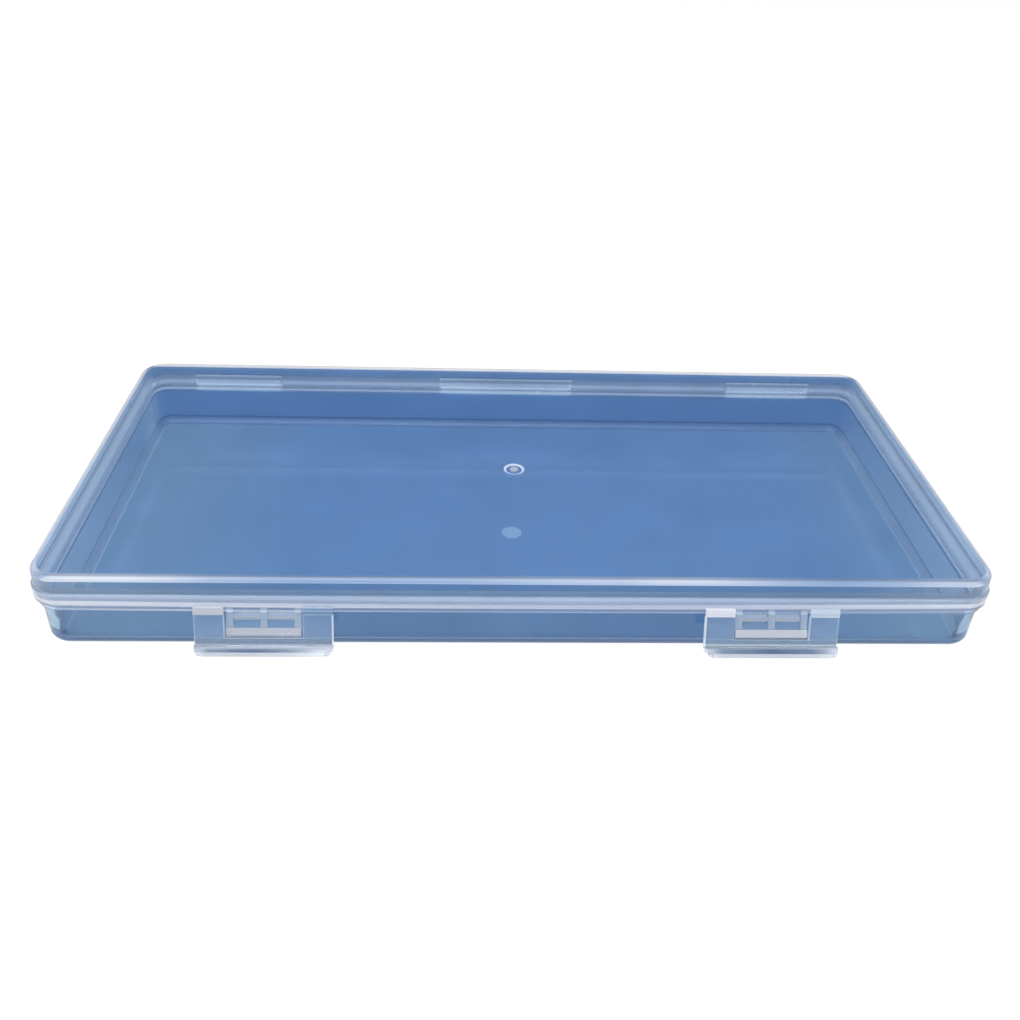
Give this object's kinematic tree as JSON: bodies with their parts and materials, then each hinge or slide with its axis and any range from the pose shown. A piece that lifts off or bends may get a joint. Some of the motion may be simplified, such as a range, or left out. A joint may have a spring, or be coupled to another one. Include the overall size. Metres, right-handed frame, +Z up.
{
  "type": "wet palette box",
  "caption": "Shallow see-through plastic wet palette box: a tray under a hinged lid, film hinges along the back and front flaps that hook under ribbed catches.",
  "frame": {"origin": "on the underside, below the middle of the lid's rim", "axes": "+X along the length to the right, +Y to the back where the lid is hinged, +Z up"},
  "size_m": [0.23, 0.1242, 0.0216],
  "materials": {
    "body_plastic": "see-through moulded polypropylene, smooth with a faint haze",
    "flap_plastic": "see-through moulded polypropylene",
    "hinge_film": "thin polypropylene film, whitened a little where it bends"
  },
  "bodies": {
    "base": {"base_tray": "body_plastic", "catch_left": "flap_plastic", "catch_right": "flap_plastic", "rear_hinge_left": "hinge_film", "rear_hinge_middle": "hinge_film", "rear_hinge_right": "hinge_film"},
    "lid": {"lid": "body_plastic", "latch_film_left_outer": "hinge_film", "latch_film_left_inner": "hinge_film", "latch_film_right_inner": "hinge_film", "latch_film_right_outer": "hinge_film"},
    "latch_left": {"latch_flap_left": "flap_plastic"},
    "latch_right": {"latch_flap_right": "flap_plastic"}
  },
  "joints": [
    {"name": "lid_hinge", "type": "hinge", "parent": "base", "child": "lid", "pos_m": [0, 0.0587, 0.01323], "axis": [-1, 0, 0], "range_deg": [0, 180], "deforming": ["rear_hinge_left", "rear_hinge_middle", "rear_hinge_right"]},
    {"name": "latch_left_hinge", "type": "hinge", "parent": "lid", "child": "latch_left", "pos_m": [-0.06025, -0.05765, 0.01335], "axis": [-1, 0, 0], "range_deg": [0, 110], "deforming": ["latch_film_left_outer", "latch_film_left_inner"]},
    {"name": "latch_right_hinge", "type": "hinge", "parent": "lid", "child": "latch_right", "pos_m": [0.06025, -0.05765, 0.01335], "axis": [-1, 0, 0], "range_deg": [0, 110], "deforming": ["latch_film_right_inner", "latch_film_right_outer"]}
  ]
}
